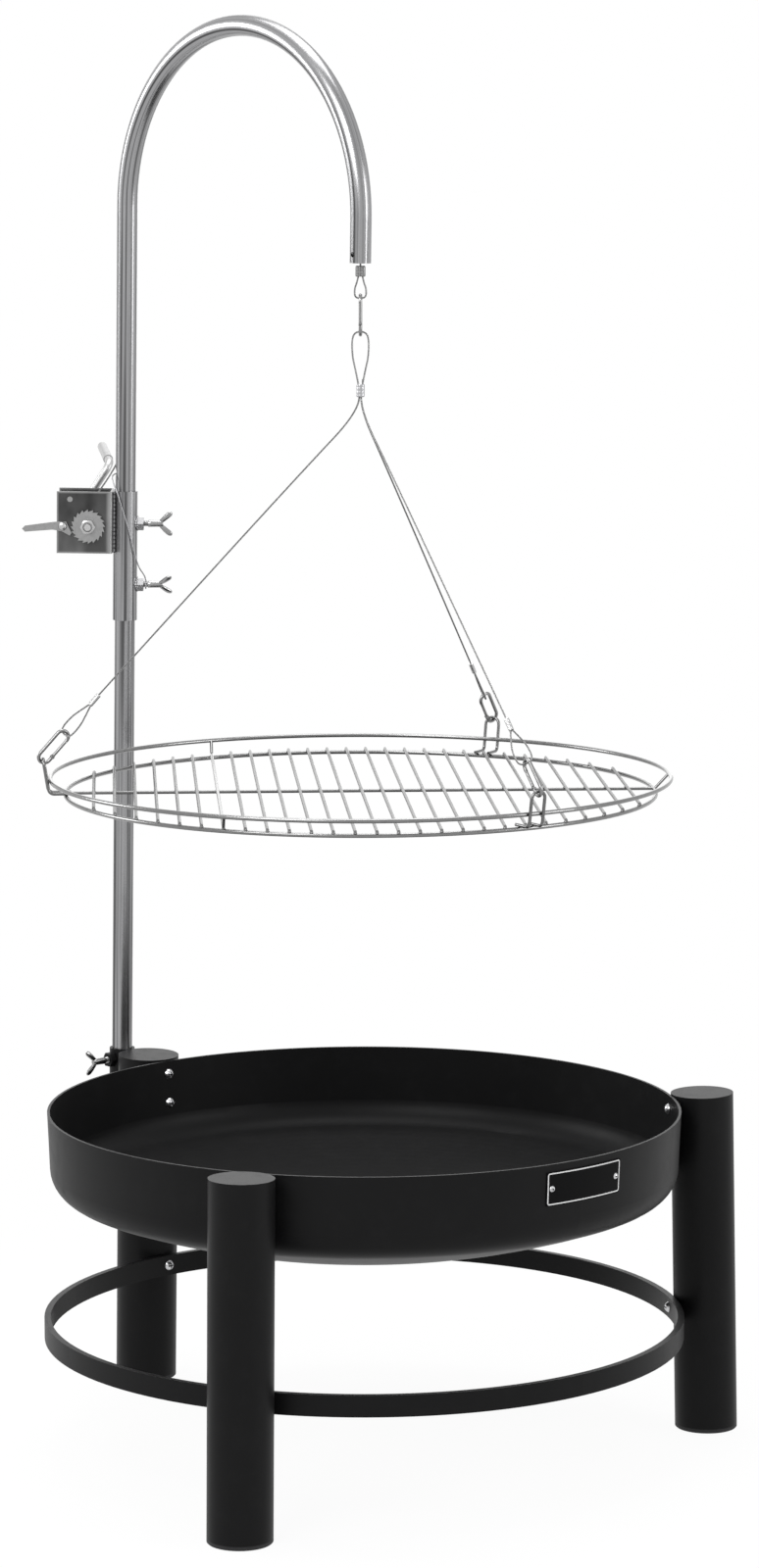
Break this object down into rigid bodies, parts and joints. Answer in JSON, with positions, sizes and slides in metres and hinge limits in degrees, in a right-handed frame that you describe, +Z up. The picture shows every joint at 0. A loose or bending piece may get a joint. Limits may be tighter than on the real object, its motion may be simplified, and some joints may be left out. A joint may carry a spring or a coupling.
{
  "type": "brazier grill",
  "caption": "Round fire bowl on tube legs tied by a base ring, with a turning mast and gooseneck that hang a round wire grate from a small winch.",
  "frame": {"origin": "on the floor under the middle of the fire bowl", "axes": "+Z up, -X from the bowl's middle to the mast, +Y to the left when looking from the mast"},
  "size_m": [0.7669, 0.6438, 1.354],
  "materials": {
    "black_coat": "satin black powder coat",
    "foot_plastic": "matt black plastic",
    "bolt_zinc": "zinc plated",
    "plate": "black enamelled plate with a pale border, left bare",
    "tube": "bright galvanised tube",
    "screw_zinc": "zinc plated casting",
    "winch_zinc": "zinc plated sheet steel",
    "crank_steel": "zinc plated rod",
    "wire_rope": "stranded steel wire",
    "ferrule_metal": "pressed aluminium sleeve",
    "hook_steel": "bright zinc",
    "grate_chrome": "chrome plated wire"
  },
  "bodies": {
    "stand": {"fire_bowl": "black_coat", "leg_mast": "black_coat", "leg_left": "black_coat", "leg_right": "black_coat", "foot_plugs": "foot_plastic", "base_ring": "black_coat", "bowl_bolts": "bolt_zinc", "ring_bolts": "bolt_zinc", "nameplate": "plate", "nameplate_rivets": "bolt_zinc", "mast_socket": "black_coat", "socket_nut": "black_coat"},
    "socket_screw": {"socket_wing_screw": "screw_zinc"},
    "mast": {"mast_tube": "tube"},
    "head": {"mast_sleeve": "tube", "sleeve_nuts": "tube", "gooseneck": "tube", "winch_bracket": "winch_zinc", "bracket_tie_rod": "winch_zinc", "pawl_rivet": "winch_zinc", "cable_run": "wire_rope", "tether_wire": "wire_rope"},
    "upper_screw": {"upper_wing_screw": "screw_zinc"},
    "lower_screw": {"lower_wing_screw": "screw_zinc"},
    "drum": {"winch_crank": "crank_steel", "winch_drum": "winch_zinc", "ratchet_wheel": "winch_zinc", "axle_nut": "winch_zinc", "cable_winding": "wire_rope"},
    "pawl": {"ratchet_pawl": "winch_zinc"},
    "hoist": {"cable_drop": "wire_rope"},
    "swivel": {"hoist_ferrule": "ferrule_metal", "hoist_eye": "wire_rope"},
    "top_link": {"hook_top": "hook_steel"},
    "top_gate": {"gate_top": "hook_steel"},
    "grate": {"bridle_loop": "wire_rope", "bridle_ferrule": "ferrule_metal", "wire_ferrules": "ferrule_metal", "grate_upper_ring": "grate_chrome", "grate_lower_ring": "grate_chrome", "grate_cross_rod": "grate_chrome", "grate_bars": "grate_chrome", "grate_spacers": "grate_chrome", "grate_lugs": "grate_chrome", "bridle_wire_left": "wire_rope", "bridle_wire_front": "wire_rope", "bridle_wire_back": "wire_rope", "wire_eye_left": "wire_rope", "wire_eye_front": "wire_rope", "wire_eye_back": "wire_rope", "hook_left": "hook_steel", "hook_front": "hook_steel", "hook_back": "hook_steel"},
    "gate_body_left": {"gate_left": "hook_steel"},
    "gate_body_front": {"gate_front": "hook_steel"},
    "gate_body_back": {"gate_back": "hook_steel"}
  },
  "joints": [
    {"name": "mast_turn", "type": "hinge", "parent": "stand", "child": "mast", "pos_m": [-0.37557, 0, 0.19096], "axis": [0.0218, 0, 0.9998], "continuous": true},
    {"name": "head_turn", "type": "hinge", "parent": "mast", "child": "head", "pos_m": [-0.36307, 0, 0.76382], "axis": [0.0218, 0, 0.9998], "continuous": true},
    {"name": "socket_screw_turn", "type": "hinge", "parent": "stand", "child": "socket_screw", "pos_m": [-0.37217, -0.01649, 0.32041], "axis": [0.0349, -0.9994, -0.0008], "continuous": true},
    {"name": "upper_screw_turn", "type": "hinge", "parent": "head", "child": "upper_screw", "pos_m": [-0.35015, 0.01245, 0.85956], "axis": [0.6559, 0.7547, -0.0143], "continuous": true},
    {"name": "lower_screw_turn", "type": "hinge", "parent": "head", "child": "lower_screw", "pos_m": [-0.35147, 0.01245, 0.79907], "axis": [0.6559, 0.7547, -0.0143], "continuous": true},
    {"name": "lift", "type": "slide", "parent": "head", "child": "hoist", "axis": [0, 0, 1], "range_m": [-0.238, 0], "deforming": ["cable_drop"]},
    {"name": "drum_turn", "type": "hinge", "parent": "head", "child": "drum", "pos_m": [-0.38436, -0.02687, 0.85881], "axis": [0.7545, -0.6561, -0.0165], "range_deg": [-1080, 0]},
    {"name": "pawl_swing", "type": "hinge", "parent": "head", "child": "pawl", "pos_m": [-0.38432, -0.05997, 0.8588], "axis": [0.7545, -0.6561, -0.0165], "range_deg": [-30, 0]},
    {"name": "cable_swivel", "type": "hinge", "parent": "hoist", "child": "swivel", "pos_m": [-0.005, 0, 1.12209], "axis": [0, 0, 1], "range_deg": [-180, 180]},
    {"name": "top_link_swing", "type": "hinge", "parent": "swivel", "child": "top_link", "pos_m": [-0.005, 0, 1.09209], "axis": [0.6561, 0.7547, 0], "range_deg": [-4, 4]},
    {"name": "grate_swing", "type": "hinge", "parent": "top_link", "child": "grate", "pos_m": [-0.005, 0, 1.05839], "axis": [0.7547, -0.6561, 0], "range_deg": [-4, 4]},
    {"name": "gate_top_swing", "type": "hinge", "parent": "top_link", "child": "top_gate", "pos_m": [-0.00047, -0.00394, 1.06869], "axis": [-0.6561, -0.7547, 0], "range_deg": [0, 25], "stiffness_Nm_per_rad": 0.02, "springref_deg": -11.46},
    {"name": "gate_left_swing", "type": "hinge", "parent": "grate", "child": "gate_body_left", "pos_m": [-0.16734, -0.23927, 0.66784], "axis": [0.9234, -0.3094, -0.227], "range_deg": [0, 25], "stiffness_Nm_per_rad": 0.02, "springref_deg": -11.46},
    {"name": "gate_front_swing", "type": "hinge", "parent": "grate", "child": "gate_body_front", "pos_m": [0.28073, -0.04269, 0.66763], "axis": [0.2393, 0.9676, 0.0809], "range_deg": [0, 25], "stiffness_Nm_per_rad": 0.02, "springref_deg": -11.46},
    {"name": "gate_back_swing", "type": "hinge", "parent": "grate", "child": "gate_body_back", "pos_m": [-0.12102, 0.26502, 0.66798], "axis": [-0.9576, -0.0655, 0.2805], "range_deg": [0, 25], "stiffness_Nm_per_rad": 0.02, "springref_deg": -11.46}
  ],
  "couplings": [
    {"joint": "drum_turn", "follows": "lift", "rad_per_m": 78.927}
  ]
}
